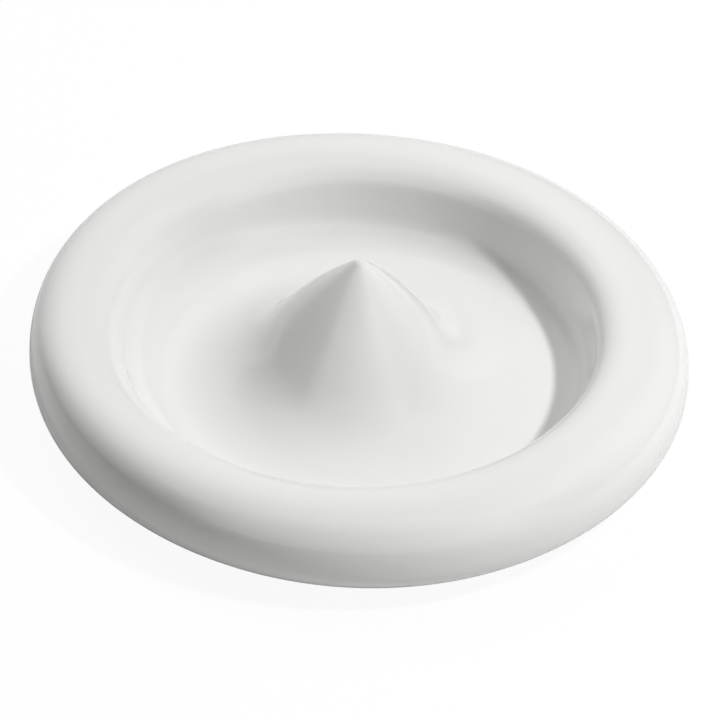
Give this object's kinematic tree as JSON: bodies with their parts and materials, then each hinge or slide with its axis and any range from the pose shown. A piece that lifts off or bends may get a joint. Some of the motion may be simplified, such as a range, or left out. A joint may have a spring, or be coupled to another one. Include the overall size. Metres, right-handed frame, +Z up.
{
  "type": "soap dish",
  "caption": "Round white glazed porcelain soap dish with a full tube-like rim and a pointed cone in the middle of its bowl, on silicone pads.",
  "frame": {"origin": "on the dish's axis, in the plane that it stands on", "axes": "+Z up along the dish's axis, +Y towards the vent plug, -Y towards the viewer of the picture"},
  "size_m": [0.13, 0.13, 0.0329],
  "materials": {
    "glaze": "gloss white glaze, bare biscuit on the foot ring",
    "silicone": "matte translucent silicone"
  },
  "bodies": {
    "root": {"dish_body": "glaze", "foot_pad_1": "silicone", "foot_pad_2": "silicone", "foot_pad_3": "silicone", "foot_pad_4": "silicone", "vent_plug": "silicone"}
  },
  "joints": []
}
